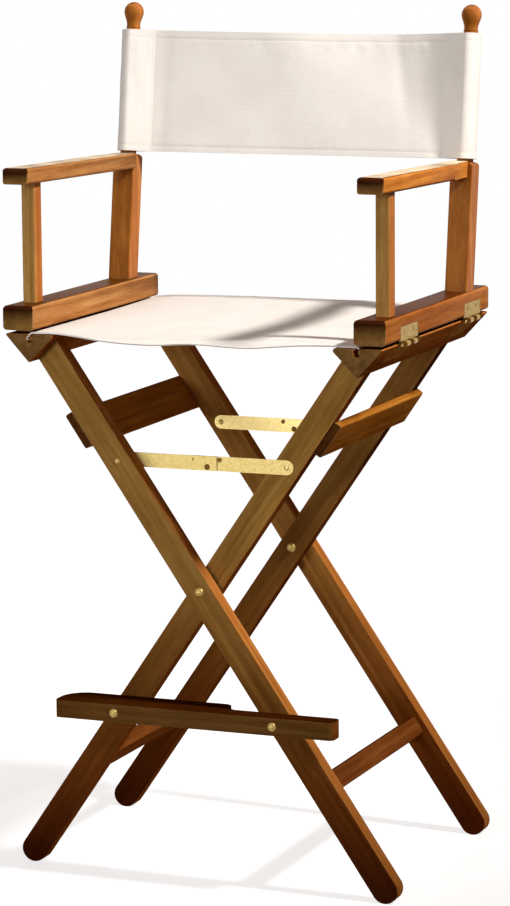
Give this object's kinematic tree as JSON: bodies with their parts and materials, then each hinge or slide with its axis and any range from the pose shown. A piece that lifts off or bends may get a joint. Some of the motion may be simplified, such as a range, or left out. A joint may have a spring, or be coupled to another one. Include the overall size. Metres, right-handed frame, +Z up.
{
  "type": "folding_directors_chair",
  "caption": "Tall wooden folding director's chair with scissor legs, hinged arms, brass locking stays, a footrest and a white canvas seat and back",
  "frame": {"origin": "middle of the chair on the floor", "axes": "+X across the seat, -Y is the front, +Z up"},
  "size_m": [0.5738, 0.4554, 1.1951],
  "materials": {
    "hardwood": "satin varnished hardwood",
    "brass": "satin plated",
    "canvas": "plain weave cotton canvas"
  },
  "bodies": {
    "left_arm": {"left_arm_base": "hardwood", "left_front_post": "hardwood", "left_back_post": "hardwood", "left_armrest": "hardwood", "left_upper_leaves": "brass", "back_canvas": "canvas"},
    "frame_outer": {"left_seat_rail": "hardwood", "left_seat_dowel": "hardwood", "left_lower_leaves": "brass", "left_hinge_pins": "brass", "outer_front_leg": "hardwood", "outer_back_leg": "hardwood", "outer_board": "hardwood", "outer_stretcher": "hardwood", "front_pivot_bolt": "brass", "back_pivot_bolt": "brass", "outer_stay_screws": "brass", "footrest_pivot_bolt": "brass", "seat_canvas": "canvas"},
    "frame_inner": {"right_seat_rail": "hardwood", "right_seat_dowel": "hardwood", "right_lower_leaves": "brass", "right_hinge_pins": "brass", "inner_front_leg": "hardwood", "inner_back_leg": "hardwood", "inner_board": "hardwood", "inner_stretcher": "hardwood", "inner_stay_screws": "brass"},
    "right_arm": {"right_arm_base": "hardwood", "right_front_post": "hardwood", "right_back_post": "hardwood", "right_armrest": "hardwood", "right_upper_leaves": "brass"},
    "front_stay_a": {"front_stay_left": "brass"},
    "front_stay_b": {"front_stay_right": "brass", "front_stay_rivets": "brass"},
    "back_stay_a": {"back_stay_left": "brass", "back_stay_rivets": "brass"},
    "back_stay_b": {"back_stay_right": "brass"},
    "foot_rest": {"footrest": "hardwood", "footrest_rest_bolt": "brass"}
  },
  "joints": [
    {"name": "fold", "type": "hinge", "parent": "frame_outer", "child": "frame_inner", "pos_m": [0, 0.0057, 0.412], "axis": [0, -1, 0], "range_deg": [0, 60], "deforming": ["seat_canvas", "back_canvas"]},
    {"name": "left_arm_hinge", "type": "hinge", "parent": "left_arm", "child": "frame_outer", "pos_m": [-0.27951, 0.0057, 0.759], "axis": [0, 1, 0], "range_deg": [0, 30]},
    {"name": "right_arm_hinge", "type": "hinge", "parent": "frame_inner", "child": "right_arm", "pos_m": [0.27951, 0.0057, 0.759], "axis": [0, 1, 0], "range_deg": [0, 30]},
    {"name": "front_stay_outer", "type": "hinge", "parent": "frame_outer", "child": "front_stay_a", "pos_m": [-0.11938, -0.1691, 0.587], "axis": [0, -1, 0], "range_deg": [0, 100.34]},
    {"name": "front_stay_centre", "type": "hinge", "parent": "front_stay_a", "child": "front_stay_b", "pos_m": [0.004, -0.1681, 0.5824], "axis": [0, 1, 0], "range_deg": [0, 169.67]},
    {"name": "back_stay_outer", "type": "hinge", "parent": "frame_outer", "child": "back_stay_a", "pos_m": [-0.11938, 0.1805, 0.587], "axis": [0, -1, 0], "range_deg": [0, 129.39]},
    {"name": "back_stay_centre", "type": "hinge", "parent": "back_stay_a", "child": "back_stay_b", "pos_m": [-0.004, 0.1795, 0.5824], "axis": [0, 1, 0], "range_deg": [0, 169.67]},
    {"name": "footrest_lift", "type": "hinge", "parent": "frame_outer", "child": "foot_rest", "pos_m": [0.11716, -0.1943, 0.24025], "axis": [0, 1, 0], "range_deg": [0, 28]}
  ],
  "couplings": [
    {"joint": "left_arm_hinge", "follows": "fold", "ratio": 0.5},
    {"joint": "right_arm_hinge", "follows": "fold", "ratio": 0.5},
    {"joint": "front_stay_outer", "follows": "fold", "ratio": 1.6715},
    {"joint": "front_stay_centre", "follows": "fold", "ratio": 2.8271},
    {"joint": "back_stay_outer", "follows": "fold", "ratio": 2.1556},
    {"joint": "back_stay_centre", "follows": "fold", "ratio": 2.8271}
  ]
}
